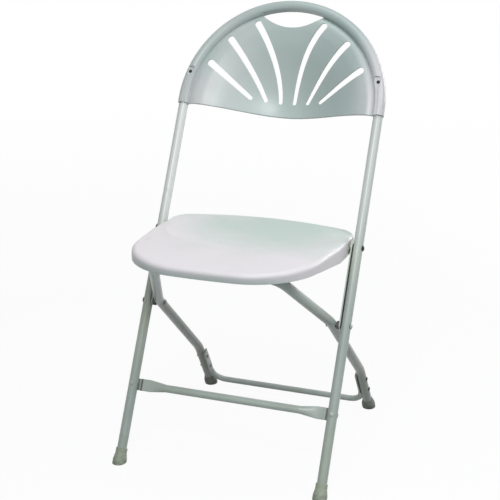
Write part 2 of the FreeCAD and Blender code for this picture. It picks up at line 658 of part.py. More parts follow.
def rear_frame():
    """One bent tube: foot to foot, with its cross run under the seat."""
    foot, bend, tuck, corner = rear_leg_points()
    right = [up_rear_leg(TUBE_END_UP), bend, tuck, corner]
    left = [V(-p.x, p.y, p.z) for p in reversed(right)]
    path = bent_path(right + left, [REAR_BEND_R, TUCK_R, CROSS_R, CROSS_R, TUCK_R, REAR_BEND_R])
    tube = swept(path, TUBE_R).cut(swept(path, BORE_R))
    far = 2 * FRONT_HALF_SPAN
    hole_r = PIVOT_D / 2 + PIVOT_RUNNING_GAP
    tube = tube.cut(rod(hole_r, V(-far, LEG_PIVOT.y, LEG_PIVOT.z), V(far, LEG_PIVOT.y, LEG_PIVOT.z)))
    for distance in REAR_RIVET_UPS:
        place = up_rear_leg(distance)
        tube = tube.cut(rod(RIVET_D / 2, V(-far, place.y, place.z), V(far, place.y, place.z)))
    return tube


def rear_foot():
    """Right rear cap: rounded, with a groove round its waist, cut at the floor."""
    wide = REAR_FOOT_D / 2
    collar_r = FOOT_COLLAR_D / 2
    groove_r = wide - GROOVE_DEPTH
    cap = turned([(0, -FOOT_SPILL), (wide - REAR_SOLE_IN, -FOOT_SPILL), (wide, REAR_BULGE_UP),
                  (wide, GROOVE_UP - GROOVE_W / 2), (groove_r, GROOVE_UP - GROOVE_W / 2),
                  (groove_r, GROOVE_UP + GROOVE_W / 2), (wide, GROOVE_UP + GROOVE_W / 2),
                  (wide - REAR_SHOULDER_IN, REAR_SHOULDER_UP), (collar_r, REAR_NECK_UP),
                  (collar_r - FOOT_EDGE, REAR_FOOT_H), (0, REAR_FOOT_H)])
    socket = Part.makeCylinder(TUBE_R + SAME_BODY_GAP, REAR_FOOT_H, V(0, 0, TUBE_END_UP))
    foot = up_rear_leg(0)
    return aimed(cap.cut(socket), foot, up_rear_leg(1) - foot).cut(below_floor())


def rear_brace():
    """Bent tube low between the rear legs; its pressed arms nest on their inner sides."""
    inset = X_AXIS * (TUBE_R + REAR_BRACE_NEST)
    low = up_rear_leg(REAR_BRACE_UP) - inset
    high = up_rear_leg(REAR_BRACE_TOP) - inset
    climb = (high - low).normalize()
    arc_top = low + climb * (REAR_BRACE_R * tan((pi - climb.getAngle(-X_AXIS)) / 2))
    low_left = V(-low.x, low.y, low.z)
    arc_top_left = V(-arc_top.x, arc_top.y, arc_top.z)
    path = bent_path([arc_top, low, low_left, arc_top_left], [REAR_BRACE_R, REAR_BRACE_R])
    run = swept(path, REAR_BRACE_D / 2)

    across = (X_AXIS - climb * climb.dot(X_AXIS)).normalize()
    flat_start = arc_top + climb * REAR_BRACE_TAPER

    def ring(centre, width, thickness, squareness):
        return flattened_ring(centre, climb, across, width, thickness, squareness)

    def flat_ring(centre):
        return ring(centre, REAR_BRACE_FLAT_W, REAR_BRACE_FLAT_T, REAR_BRACE_SQUARENESS)

    start_d = REAR_BRACE_D - SAME_BODY_GAP
    arm = Part.makeLoft([ring(arc_top - climb * REAR_BRACE_LAP, start_d, start_d, ROUND),
                         flat_ring(flat_start), flat_ring(high)], True, True)
    cutters = [rod(TUBE_R + SAME_BODY_GAP, up_rear_leg(0), up_rear_leg(2 * REAR_BRACE_TOP))]
    for distance in REAR_RIVET_UPS:
        place = up_rear_leg(distance)
        cutters.append(rod(RIVET_D / 2, V(REAR_FOOT_X / 2, place.y, place.z), place))
    brace = fused([run, arm, mirrored(arm)])
    return brace.cut([on_side(cutter, side) for side in SIDES.values() for cutter in cutters])


def rear_brace_rivet(distance):
    """Rivet through the right rear leg and the pressed arm of its brace."""
    place = up_rear_leg(distance)
    outer = place + X_AXIS * TUBE_R
    inner = place - X_AXIS * (TUBE_R + REAR_BRACE_NEST + REAR_BRACE_FLAT_T / 2 + SAME_BODY_GAP)
    piece = rivet((outer - inner).Length, RIVET_D, RIVET_HEAD_D, RIVET_HEAD_H)
    return aimed(piece, outer, -X_AXIS)


# --- seat --------------------------------------------------------------------
def seat_plan(inset):
    """Outline of the seat from above, drawn in by the wall for the hollow."""
    def corner(point, across, along):
        return V(point[0] - across * inset, point[1] + along * inset, 0)

    fr = corner(SEAT_FRONT_CORNER, 1, 1)
    waist = corner((SEAT_HALF_W, SEAT_WAIST_Y), 1, 0)
    rr = corner(SEAT_REAR_CORNER, 1, -1)
    fl, waist_l, rl = (V(-p.x, p.y, 0) for p in (fr, waist, rr))
    front = V(0, SEAT_FRONT_Y + inset, 0)
    rear = V(0, SEAT_REAR_Y - inset, 0)
    sides = [Part.LineSegment(a, b).toShape()
             for a, b in ((fr, waist), (waist, rr), (rl, waist_l), (waist_l, fl))]
    return Part.Wire([Part.Arc(fl, front, fr).toShape()] + sides[:2]
                     + [Part.Arc(rr, rear, rl).toShape()] + sides[2:])


def seat_side(inset):
    """Side view of the seat: skirt line below, gently crowned top above."""
    front = SEAT_FRONT_Y - SEAT_SPILL
    rear = SEAT_REAR_Y + SEAT_SPILL
    top = SEAT_TOP_Z - inset
    lower = SEAT_TOP_Z / 2 if inset else 0
    crown = Part.BSplineCurve()
    crown.interpolate([V(0, front, top - 2 * SEAT_FRONT_DROP),
                       V(0, SEAT_FRONT_Y + SEAT_DROP_Y, top - SEAT_FRONT_DROP / 2),
                       V(0, SEAT_CROWN_Y, top + SEAT_CROWN),
                       V(0, DISH_Y, top),
                       V(0, rear, top + SEAT_CROWN)])
    skirt = [(rear, SKIRT_REAR_H), (SKIRT_YS[3], SKIRT_REAR_H), (SKIRT_YS[2], SKIRT_SIDE_H),
             (SKIRT_YS[1], SKIRT_SIDE_H), (SKIRT_YS[0], SKIRT_FRONT_H), (front, SKIRT_FRONT_H)]
    points = ([V(0, rear, top + SEAT_CROWN)] + [V(0, y, SEAT_TOP_Z - h - lower) for y, h in skirt]
              + [V(0, front, top - 2 * SEAT_FRONT_DROP)])
    return Part.Wire([crown.toShape()] + [Part.LineSegment(a, b).toShape()
                                          for a, b in zip(points, points[1:])])


def corner_edges(block, x, y):
    """The upright edges of the block at a corner of its plan, on both sides."""
    return [e for e in block.Edges if e.BoundBox.ZLength > SEAT_TOP_Z
            and hypot(abs(e.CenterOfMass.x) - x, e.CenterOfMass.y - y) < 1]


def seat_block(inset):
    """Solid under the seat's top surface, smaller by the wall for the hollow."""
    plan = Part.Face(seat_plan(inset)).extrude(Z_AXIS * 2 * SEAT_TOP_Z)
    plan = plan.makeFillet(SEAT_FRONT_R - inset, corner_edges(
        plan, SEAT_FRONT_CORNER[0] - inset, SEAT_FRONT_CORNER[1] + inset))
    plan = plan.makeFillet(SEAT_REAR_R - inset, corner_edges(
        plan, SEAT_REAR_CORNER[0] - inset, SEAT_REAR_CORNER[1] - inset))
    side = Part.Face(seat_side(inset)).extrude(X_AXIS * 4 * SEAT_HALF_W)
    side.translate(X_AXIS * -2 * SEAT_HALF_W)
    block = plan.common(side)
    top_edges = [e for e in block.Edges
                 if e.BoundBox.ZMin > SEAT_TOP_Z - inset - 3 * SEAT_FRONT_DROP]
    return block.makeFillet(SEAT_EDGE_R - inset, top_edges).cut(dish(inset))


def dish(inset):
    """Shallow oval hollow for the sitter, sunk by the wall for the hollow's roof."""
    spread = sqrt(1 - (1 - DISH_DEPTH / DISH_BALL_H) ** 2)
    scale = FreeCAD.Matrix()
    scale.scale(DISH_HALF_W / spread, DISH_HALF_L / spread, DISH_BALL_H)
    oval = Part.makeSphere(1).transformGeometry(scale)
    oval.translate(V(0, DISH_Y, SEAT_TOP_Z - DISH_DEPTH + DISH_BALL_H - inset))
    return oval


def hinge_pad():
    """Boss on the right skirt that backs the hinge plate with a flat face."""
    pad = plate_outline(PLATE_FACE_X - PAD_T, PAD_T, PAD_MARGIN)
    pin = V(PLATE_FACE_X - 2 * PAD_T, SEAT_PIVOT.y, SEAT_PIVOT.z)
    return pad, rod(PAD_HOLE_D / 2, pin, pin + X_AXIS * 4 * PAD_T)


def plate_outline(inner_x, thickness, margin):
    """Plate with round ends, upright beside the seat, centred on the seat pivot."""
    half_h = PLATE_H / 2 + margin
    half_l = PLATE_L / 2 + margin - half_h
    middle = V(inner_x, SEAT_PIVOT.y, PLATE_MID_Z)
    reach = X_AXIS * thickness
    box = Part.makeBox(thickness, 2 * half_l, 2 * half_h, middle - V(0, half_l, half_h))
    ends = [rod(half_h, middle + Y_AXIS * y, middle + Y_AXIS * y + reach) for y in (-half_l, half_l)]
    return fused([box] + ends)


def hinge_rivet_places():
    """Points on the right hinge plate's axis line for its two rivets."""
    return [V(PLATE_FACE_X, SEAT_PIVOT.y + y, PLATE_MID_Z)
            for y in (-HINGE_RIVET_STEP, HINGE_RIVET_STEP)]


def seat():
    """Moulded seat: shell, ribs, two runners, hinge pads and bracket bosses."""
    hollow = seat_block(SEAT_WALL)
    shell = seat_block(0).cut(hollow)
    reach = 2 * SEAT_TOP_Z
    ribs = []
    for x in RIB_XS:
        ribs.append(Part.makeBox(RIB_T, reach, reach,
                                 V(x - RIB_T / 2, -SEAT_TOP_Z, SLIDE_Z + RIB_RELIEF)))
    for y in RIB_YS:
        ribs.append(Part.makeBox(reach, RIB_T, reach,
                                 V(-SEAT_TOP_Z, y - RIB_T / 2, SLIDE_Z + RIB_RELIEF)))
    for side in SIDES.values():
        ribs.append(Part.makeBox(RUNNER_W, RUNNER_Y[1] - RUNNER_Y[0], reach,
                                 V(side * STOP_X - RUNNER_W / 2, RUNNER_Y[0], SLIDE_Z)))
        for y in STOP_SCREW_YS:
            ribs.append(Part.makeCylinder(STOP_BOSS_D / 2, reach,
                                          V(side * STOP_X, y, SLIDE_Z + STOP_T)))
    pad, pin_hole = hinge_pad()
    recess = plate_outline(PLATE_FACE_X, 2 * SEAT_SIDE_OUT, PLATE_RECESS_GAP)
    shell = shell.cut([recess, mirrored(recess)])
    body = fused([shell, pad, mirrored(pad)] + [rib.common(hollow) for rib in ribs])
    for side in SIDES.values():
        body = body.cut(on_side(pin_hole, side))
        for place in hinge_rivet_places():
            hole = rod(HINGE_RIVET_D / 2, place - X_AXIS * 2 * PAD_T, place + X_AXIS * PAD_T)
            body = body.cut(on_side(hole, side))
        for y in STOP_SCREW_YS:
            body = body.cut(Part.makeCylinder(STOP_SCREW_D / 2, STOP_SCREW_L,
                                              V(side * STOP_X, y, SLIDE_Z)))
    return body


def hinge_plate():
    """Right steel plate that turns on the seat pivot."""
    plate = plate_outline(PLATE_FACE_X, PLATE_T, 0)
    pin = V(0, SEAT_PIVOT.y, SEAT_PIVOT.z)
    plate = plate.cut(rod(PIVOT_D / 2 + PIVOT_RUNNING_GAP, pin, pin + X_AXIS * 2 * PLATE_FACE_X))
    for place in hinge_rivet_places():
        plate = plate.cut(rod(HINGE_RIVET_D / 2, place, place + X_AXIS * 2 * PLATE_T))
    return plate


def hinge_rivet(place):
    """Low-headed rivet that holds the right hinge plate on its pad."""
    piece = rivet(PAD_T + PLATE_T, HINGE_RIVET_D, HINGE_RIVET_HEAD_D, HINGE_RIVET_HEAD_H)
    return aimed(piece, place + X_AXIS * PLATE_T, -X_AXIS)


def stop_bracket():
    """Right bent strip that catches the cross run from the front."""
    wall = TUBE_R + SIDE_GAP
    slant = sin(radians(STOP_LIP_TURN))
    knee = wall * (1 - 1 / slant)
    inner = [(STOP_BACK_Y - CROSS_Y, wall), (-wall, wall), (-wall, knee),
             (-wall + STOP_LIP * slant, knee - STOP_LIP * slant)]
    step = STOP_T * tan(radians(STOP_LIP_TURN / 2))
    outer = [(STOP_BACK_Y - CROSS_Y, wall + STOP_T), (-wall - STOP_T, wall + STOP_T),
             (-wall - STOP_T, knee - step),
             (-wall + (STOP_LIP - STOP_T) * slant, knee - (STOP_LIP + STOP_T) * slant)]
    ring = [V(0, CROSS_Y + y, CROSS_Z + z) for y, z in inner + outer[::-1] + inner[:1]]
    strip = Part.Face(Part.makePolygon(ring)).extrude(X_AXIS * STOP_W)
    strip.translate(X_AXIS * (STOP_X - STOP_W / 2))
    for y in STOP_SCREW_YS:
        strip = strip.cut(stop_screw_shape(y))
    return strip


def stop_screw_shape(y):
    """Right flush screw, its head level with the bracket's sliding face."""
    head_h = (STOP_SCREW_HEAD_D - STOP_SCREW_D) / 2
    head = Part.makeCone(STOP_SCREW_HEAD_D / 2, STOP_SCREW_D / 2, head_h)
    shank = Part.makeCylinder(STOP_SCREW_D / 2, STOP_SCREW_L)
    screw = fused([head, shank])
    screw.translate(V(STOP_X, y, SLIDE_Z))
    return screw


def both(shape):
    """A piece and its mirror image as one group."""
    return Part.makeCompound([shape, mirrored(shape)])


def main():
    os.makedirs("parts", exist_ok=True)
    pad_inner_x = PLATE_FACE_X - PAD_T - SIDE_GAP
    handed = {
        "front_leg": leaned(front_leg()),
        "front_foot": front_foot(),
        "hinge_strap": hinge_strap(),
        "leg_pivot_spacer": pivot_ring(LEG_SPACER_T, LEG_PIVOT_UP),
        "leg_pivot_rivet": pivot_rivet(LEG_X - LEG_SWAY, LEG_PIVOT_UP),
        "seat_pivot_washer": pivot_ring(SEAT_WASHER_T, SEAT_PIVOT_UP),
        "seat_pivot_rivet": pivot_rivet(pad_inner_x, SEAT_PIVOT_UP),
        "rear_foot": rear_foot(),
        "seat_hinge_plate": hinge_plate(),
        "seat_stop_bracket": stop_bracket(),
    }
    for name, shape in handed.items():
        for word, side in SIDES.items():
            export("%s_%s" % (name, word), on_side(shape, side))
    export("back_panel", back())
    export("back_screws", both(back_screw()))
    export("front_brace", front_brace())
    export("front_brace_rivets", both(front_brace_rivet()))
    export("rear_leg_frame", rear_frame())
    export("rear_brace", rear_brace())
    export("rear_brace_rivets", Part.makeCompound(
        [both(rear_brace_rivet(distance)) for distance in REAR_RIVET_UPS]))
    export("seat_pan", seat())
    export("seat_hinge_rivets", Part.makeCompound(
        [both(hinge_rivet(place)) for place in hinge_rivet_places()]))
    export("seat_stop_screws", Part.makeCompound(
        [both(stop_screw_shape(y)) for y in STOP_SCREW_YS]))


main()
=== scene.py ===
import bmesh
import bpy
from math import cos, radians, sin
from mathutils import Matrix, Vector


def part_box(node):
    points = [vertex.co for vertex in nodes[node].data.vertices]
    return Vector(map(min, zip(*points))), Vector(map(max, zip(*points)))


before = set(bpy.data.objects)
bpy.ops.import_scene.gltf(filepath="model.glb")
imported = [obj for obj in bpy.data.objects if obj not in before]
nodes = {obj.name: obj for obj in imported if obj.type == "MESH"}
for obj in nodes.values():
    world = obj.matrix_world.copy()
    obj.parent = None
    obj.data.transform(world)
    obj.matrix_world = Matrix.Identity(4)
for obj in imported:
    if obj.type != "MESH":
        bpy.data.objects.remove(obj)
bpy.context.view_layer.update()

# --- Camera: stands to the right of the chair and a little above the seat, at the
# height of someone who looks at it from a few steps away.
look_at = Vector((0.01154, -0.04281, 0.41439))
stand_round = radians(20.668)
stand_up = radians(17.185)
stand_off = 2.2325
away = Vector((sin(stand_round) * cos(stand_up),
               -cos(stand_round) * cos(stand_up),
               sin(stand_up)))
camera_data = bpy.data.cameras.new("camera")
camera_data.lens = 84.38
camera_data.sensor_width = 36.0
camera_data.clip_end = 50.0
camera = bpy.data.objects.new("camera", camera_data)
camera.location = look_at + away * stand_off
camera.rotation_euler = away.to_track_quat("Z", "Y").to_euler()
bpy.context.collection.objects.link(camera)
bpy.context.scene.camera = camera

# --- Room: an even pale world and soft lamps in front, on the right, above and behind. The
# floor and the world are white where they are looked at, and the floor keeps the
# chair's soft shadow.
bpy.context.scene.view_settings.view_transform = "Standard"


def white_when_seen(tree, lit, shown, share, result):
    """Joins two shaders: the lit one, and the shown one where a view or glass looks at it."""
    path = tree.nodes.new("ShaderNodeLightPath")
    seen = tree.nodes.new("ShaderNodeMath")
    seen.operation = "MAXIMUM"
    mirrored = tree.nodes.new("ShaderNodeMath")
    mirrored.operation = "MAXIMUM"
    part = tree.nodes.new("ShaderNodeMath")
    part.operation = "MULTIPLY"
    part.inputs[1].default_value = share
    join = tree.nodes.new("ShaderNodeMixShader")
    tree.links.new(path.outputs["Is Camera Ray"], seen.inputs[0])
    tree.links.new(path.outputs["Is Glossy Ray"], mirrored.inputs[0])
    tree.links.new(path.outputs["Is Transmission Ray"], mirrored.inputs[1])
    tree.links.new(mirrored.outputs[0], seen.inputs[1])
    tree.links.new(seen.outputs[0], part.inputs[0])
    tree.links.new(part.outputs[0], join.inputs[0])
    tree.links.new(lit.outputs[0], join.inputs[1])
    tree.links.new(shown.outputs[0], join.inputs[2])
    tree.links.new(join.outputs[0], result.inputs[0])


world = bpy.data.worlds.new("studio")
bpy.context.scene.world = world
world.use_nodes = True
tree = world.node_tree
tree.nodes.clear()
even_light = tree.nodes.new("ShaderNodeBackground")
even_light.inputs["Color"].default_value = (0.86, 1.0, 0.96, 1)
even_light.inputs["Strength"].default_value = 0.14
paper = tree.nodes.new("ShaderNodeBackground")
paper.inputs["Color"].default_value = (0.99, 0.99, 0.99, 1)
white_when_seen(tree, even_light, paper, 1.0, tree.nodes.new("ShaderNodeOutputWorld"))


def soft_lamp(name, place, aim, size, power):
    """A round area lamp that stands at the place and faces the aim."""
    lamp = bpy.data.lights.new(name, "AREA")
    lamp.shape = "DISK"
    lamp.size = size
    lamp.energy = power
    stand = bpy.data.objects.new(name, lamp)
    stand.location = place
    stand.rotation_euler = (Vector(place) - Vector(aim)).to_track_quat("Z", "Y").to_euler()
    bpy.context.collection.objects.link(stand)


soft_lamp("lamp_key", (0.47, -2.02, 2.34), (0, 0.1, 0.6), 0.9, 32)
soft_lamp("lamp_right", (2.0, -0.5, 2.4), (0, 0, 0.5), 1.0, 20)
soft_lamp("lamp_above", (0.1, -0.1, 2.6), (0, -0.05, 0.4), 1.2, 10)
soft_lamp("lamp_behind", (1.5, 2.5, 1.1), (0, 0, 0.45), 1.2, 22)

floor_mesh = bpy.data.meshes.new("floor")
shape = bmesh.new()
bmesh.ops.create_grid(shape, x_segments=1, y_segments=1, size=30.0)
shape.to_mesh(floor_mesh)
shape.free()
floor = bpy.data.objects.new("floor", floor_mesh)
bpy.context.collection.objects.link(floor)
floor_paint = bpy.data.materials.new("floor_paint")
floor_paint.use_nodes = True
tree = floor_paint.node_tree
tree.nodes.clear()
matt = tree.nodes.new("ShaderNodeBsdfDiffuse")
matt.inputs["Color"].default_value = (0.35, 0.375, 0.365, 1)
glow = tree.nodes.new("ShaderNodeEmission")
spot = tree.nodes.new("ShaderNodeTexCoord")
away_from_chair = tree.nodes.new("ShaderNodeVectorMath")
away_from_chair.operation = "LENGTH"
sweep = tree.nodes.new("ShaderNodeMapRange")
for name, value in (("From Min", 1.0), ("From Max", 4.0), ("To Min", 1.105), ("To Max", 1.165)):
    sweep.inputs[name].default_value = value
tree.links.new(spot.outputs["Object"], away_from_chair.inputs[0])
tree.links.new(away_from_chair.outputs["Value"], sweep.inputs["Value"])
tree.links.new(sweep.outputs[0], glow.inputs["Strength"])
white_when_seen(tree, matt, glow, 0.85, tree.nodes.new("ShaderNodeOutputMaterial"))
floor_mesh.materials.append(floor_paint)

# --- Front tubes: a round steel tube at each side, bent over at the top under the back,
# with one light grey powder coat. The coat has a fine orange peel, thin scuffs along
# the tube and a few chips. Low down it is painted darker and greener as the seat's shade, and
# higher up paler as painted light.


def new_finish(name):
    """A material with one Principled shader, read on the piece's own coordinates."""
    finish = bpy.data.materials.new(name)
    finish.use_nodes = True
    tree = finish.node_tree
    place = tree.nodes.new("ShaderNodeTexCoord").outputs["Object"]
    return finish, tree, tree.nodes["Principled BSDF"], place


def noise(tree, place, scale, detail=2.0, roughness=0.5, stretch=None):
    """Noise of so many cells to a metre, drawn out along an axis if asked."""
    if stretch:
        mapping = tree.nodes.new("ShaderNodeMapping")
        mapping.inputs["Scale"].default_value = stretch
        tree.links.new(place, mapping.inputs["Vector"])
        place = mapping.outputs[0]
    texture = tree.nodes.new("ShaderNodeTexNoise")
    texture.inputs["Scale"].default_value = scale
    texture.inputs["Detail"].default_value = detail
    texture.inputs["Roughness"].default_value = roughness
    tree.links.new(place, texture.inputs["Vector"])
    return texture.outputs["Fac"]


def spread(tree, value, low, high, to_low=0.0, to_high=1.0):
    """The value, spread from its low and high to two new ends and held between them."""
    ramp = tree.nodes.new("ShaderNodeMapRange")
    ramp.inputs["From Min"].default_value = low
    ramp.inputs["From Max"].default_value = high
    ramp.inputs["To Min"].default_value = to_low
    ramp.inputs["To Max"].default_value = to_high
    tree.links.new(value, ramp.inputs["Value"])
    return ramp.outputs[0]


def blended(tree, share, first, second):
    """Colour between the first and the second, by the share."""
    mix = tree.nodes.new("ShaderNodeMix")
    mix.data_type = "RGBA"
    tree.links.new(share, mix.inputs["Factor"])
    for socket, colour in ((mix.inputs[6], first), (mix.inputs[7], second)):
        if isinstance(colour, tuple):
            socket.default_value = (*colour, 1)
        else:
            tree.links.new(colour, socket)
    return mix.outputs[2]


def both(tree, first, second, way="MULTIPLY"):
    """Two values joined by one sum."""
    sum_node = tree.nodes.new("ShaderNodeMath")
    sum_node.operation = way
    sum_node.use_clamp = way == "ADD"
    tree.links.new(first, sum_node.inputs[0])
    if isinstance(second, float):
        sum_node.inputs[1].default_value = second
    else:
        tree.links.new(second, sum_node.inputs[1])
    return sum_node.outputs[0]


def relief(tree, skin, height, depth, strength):
    """Bump of the given depth in metres on the shader."""
    bump = tree.nodes.new("ShaderNodeBump")
    bump.inputs["Strength"].default_value = strength
    bump.inputs["Distance"].default_value = depth
    tree.links.new(height, bump.inputs["Height"])
    tree.links.new(bump.outputs[0], skin.inputs["Normal"])


def along(tree, place, axis, first, last):
    """0 at the first place along an axis and 1 at the last one."""
    split = tree.nodes.new("ShaderNodeSeparateXYZ")
    tree.links.new(place, split.inputs[0])
    return spread(tree, split.outputs[axis], first, last)


def from_middle(tree, place):
    """Distance from the chair's middle plane."""
    split = tree.nodes.new("ShaderNodeSeparateXYZ")
    tree.links.new(place, split.inputs[0])
    return both(tree, split.outputs["X"], 0.0, "ABSOLUTE")


def mottled(tree, place, scale, detail, dark, light):
    """Colour that drifts between a darker and a lighter tone."""
    return blended(tree, spread(tree, noise(tree, place, scale, detail), 0.35, 0.65), dark, light)


def crevice_dirt_and_shade(tree):
    """1 deep between pieces that nearly touch, 0 on open faces: a mask for dirt and painted
    contact shade.
    """
    hollow = tree.nodes.new("ShaderNodeAmbientOcclusion")
    hollow.samples = 6
    hollow.inputs["Distance"].default_value = 0.006
    return spread(tree, hollow.outputs["AO"], 0.25, 0.7, 1.0, 0.0)


def dress(names, finish):
    """Gives CAD nodes their finish."""
    for name in names:
        nodes[name].data.materials.clear()
        nodes[name].data.materials.append(finish)


yellowed_tone = (0.50, 0.585, 0.44)
shin_stain_tone = (0.58, 0.60, 0.45)
scuff_tone = (0.36, 0.38, 0.35)
bare_steel_tone = (0.20, 0.19, 0.17)
grime_tone = (0.33, 0.34, 0.28)
joint_dirt_and_shade_tone = (0.04, 0.04, 0.035)
seam_shadow_tone = (0.05, 0.045, 0.035)


def powder_coat(name, low_tone, high_tone, fade_from, fade_to, wear,
                dust=0.5, stain=0.0, seam_shadow_at=None):
    """Powder coat on steel: low and high tones, the heights between them, and how far it
    is worn, dusty, stained yellow between shin and seat, or given a painted shadow line at a
    seam."""
    finish, tree, skin, place = new_finish(name)
    clouds = spread(tree, noise(tree, place, 9, 3), 0.35, 0.65)
    low = blended(tree, clouds, tuple(0.93 * part for part in low_tone),
                  tuple(1.05 * part for part in low_tone))
    high = blended(tree, clouds, tuple(0.97 * part for part in high_tone), high_tone)
    # Tone by height: on the tubes and legs the low tone is painted shade under the seat, and the
    # high tone is painted light.
    tone = blended(tree, along(tree, place, "Z", fade_from, fade_to), low, high)
    yellowed = spread(tree, noise(tree, place, 6.5, 2), 0.52, 0.68)
    tone = blended(tree, both(tree, yellowed, 0.35 * wear), tone, yellowed_tone)
    if stain:
        shin = both(tree, along(tree, place, "Z", 0.12, 0.26),
                    along(tree, place, "Z", 0.47, 0.36))
        shin = both(tree, shin, spread(tree, noise(tree, place, 28, 4), 0.25, 0.6))
        tone = blended(tree, both(tree, shin, stain), tone, shin_stain_tone)
    scuffs = spread(tree, noise(tree, place, 70, 6, 0.62, (1, 1, 0.35)), 0.63, 0.70)
    tone = blended(tree, both(tree, scuffs, 0.32 * wear), tone, scuff_tone)
    chips = spread(tree, noise(tree, place, 150, 3, 0.6), 0.735, 0.75)
    tone = blended(tree, chips, tone, bare_steel_tone)
    grime = both(tree, along(tree, place, "Z", 0.15, 0.02),
                 spread(tree, noise(tree, place, 40, 5), 0.3, 0.7))
    tone = blended(tree, both(tree, grime, dust), tone, grime_tone)
    # Joints darkened by occlusion: partly dirt, partly painted contact shade.
    tone = blended(tree, both(tree, crevice_dirt_and_shade(tree), 0.85), tone, joint_dirt_and_shade_tone)
    # A painted contact shadow line along the seam beside the tube.
    if seam_shadow_at:
        out = both(tree, from_middle(tree, place), seam_shadow_at, "SUBTRACT")
        seam_shadow_mask = spread(tree, both(tree, out, 0.0, "ABSOLUTE"), 0.0012, 0.0026, 0.8, 0.0)
        tone = blended(tree, seam_shadow_mask, tone, seam_shadow_tone)
    tree.links.new(tone, skin.inputs["Base Color"])
    rough = both(tree, noise(tree, place, 25, 4), both(tree, scuffs, 0.5), "ADD")
    tree.links.new(spread(tree, rough, 0.2, 1.0, 0.30, 0.50), skin.inputs["Roughness"])
    peel = both(tree, noise(tree, place, 620, 2), both(tree, chips, -1.0), "ADD")
    relief(tree, skin, peel, 0.00004, 0.5)
    skin.inputs["Coat Weight"].default_value = 0.2
    skin.inputs["Coat Roughness"].default_value = 0.2
    return finish


dress(["front_leg_right"],
      powder_coat("tube_coat", (0.43, 0.495, 0.475), (0.65, 0.69, 0.68), 0.28, 0.50, 1.0))
# The left tube's coat is a paler, lit copy of the right one's (painted light), besides its yellow
# stain.
dress(["front_leg_left"],
      powder_coat("stained_and_lit_tube_coat", (0.465, 0.54, 0.51), (0.75, 0.775, 0.77), 0.28, 0.50, 1.0,
                  stain=0.6))

# --- Front brace: a tube pressed flat at both ends and riveted to the front tubes, with
# the same coat, rubbed more, because heels rest on it. A dark line is painted at each end,
# beside the tube, as a contact shadow.
dress(["front_brace"],
      powder_coat("brace_coat", (0.54, 0.61, 0.57), (0.57, 0.62, 0.60), 0.15, 0.40, 1.5,
                  seam_shadow_at=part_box("front_brace")[1][0] - 0.0218))

# --- Hinge straps and the rivets through the tubes: pressed from strip and rod, and
# coated with the frame, so the rivet heads are grey too.
dress(["front_brace_rivets", "hinge_strap_left", "hinge_strap_right",
       "leg_pivot_rivet_left", "leg_pivot_rivet_right"],
      powder_coat("rivet_coat", (0.50, 0.565, 0.53), (0.55, 0.60, 0.58), 0.15, 0.40, 1.5))

# --- Rear frame: one tube bent to a closed frame. The same coat, scuffed and yellowed the most,
# dusty at the floor, and painted much darker low down as the shade under the seat.
dress(["rear_leg_frame"],
      powder_coat("rear_coat", (0.36, 0.38, 0.355), (0.60, 0.66, 0.64), 0.22, 0.37, 1.7))

# --- Rear brace: a tube pressed flat at both ends, laid along the rear legs and riveted
# to them through their inner sides. It is cleaner than the legs.
dress(["rear_brace"],
      powder_coat("rear_brace_coat", (0.62, 0.68, 0.655), (0.47, 0.495, 0.47), 0.03, 0.06, 1.2,
                  dust=0.1))

# --- Moulded back: one injection moulding in satin pale grey plastic with a fine grain.
# Its rolled margin slides over the bent tubes as a sleeve. The left side and the right sleeve
# are painted paler as light falling on them, and the right half and the crown darker and greener
# as shade.


def rubbed(tree, place, tone, scale, from_value, draw, rub_tone, speck_scale, speck_tone):
    """The tone with thin rubbed lines, drawn out along an axis, and dark specks."""
    rubs = spread(tree, noise(tree, place, scale, 7, 0.66, draw), from_value, 0.72)
    tone = blended(tree, both(tree, rubs, 0.25), tone, rub_tone)
    specks = spread(tree, noise(tree, place, speck_scale, 3, 0.6), 0.735, 0.75)
    return blended(tree, both(tree, specks, 0.5), tone, speck_tone), rubs


def moulded_skin(tree, skin, place, rubs, scale, smooth, dull):
    """Satin surface with a fine moulded grain, duller where it is rubbed."""
    rough = both(tree, noise(tree, place, scale, 4), both(tree, rubs, 0.5), "ADD")
    tree.links.new(spread(tree, rough, 0.2, 1.0, smooth, dull), skin.inputs["Roughness"])
    relief(tree, skin, noise(tree, place, 1100, 2), 0.00003, 0.45)


back_plastic, tree, skin, place = new_finish("back_plastic")
tone = mottled(tree, place, 5, 3, (0.48, 0.575, 0.56), (0.52, 0.60, 0.585))
uneven = spread(tree, noise(tree, place, 9, 3), 0.25, 0.6)
# Painted light and shade: paler on the left and the right sleeve, darker and greener on the right
# half and the crown.
lit_left_side = both(tree, along(tree, place, "X", -0.06, -0.15), uneven)
tone = blended(tree, both(tree, lit_left_side, 0.75), tone, (0.60, 0.60, 0.62))
shaded_right_half = along(tree, place, "X", 0.02, 0.11)
tone = blended(tree, both(tree, shaded_right_half, 0.8), tone, (0.40, 0.49, 0.48))
lit_right_side = both(tree, along(tree, place, "X", 0.14, 0.19), uneven)
tone = blended(tree, both(tree, lit_right_side, 0.80), tone, (0.70, 0.68, 0.71))
shaded_crown = along(tree, place, "Z", 0.80, 0.845)
tone = blended(tree, both(tree, shaded_crown, 0.6), tone, (0.40, 0.48, 0.465))
tone, rubs = rubbed(tree, place, tone, 55, 0.64, (0.25, 1, 1), (0.38, 0.42, 0.41),
                    260, (0.25, 0.25, 0.22))
tree.links.new(tone, skin.inputs["Base Color"])
moulded_skin(tree, skin, place, rubs, 18, 0.27, 0.46)
dress(["back_panel"], back_plastic)

# --- Screws that hold the back on the tubes, and the rivets of the seat's pivots and of
# the rear brace: blackened steel, with the black worn a little at the rims. Each screw
# is sunk in its pocket. The rear brace's rivets are coated over on their inner side.


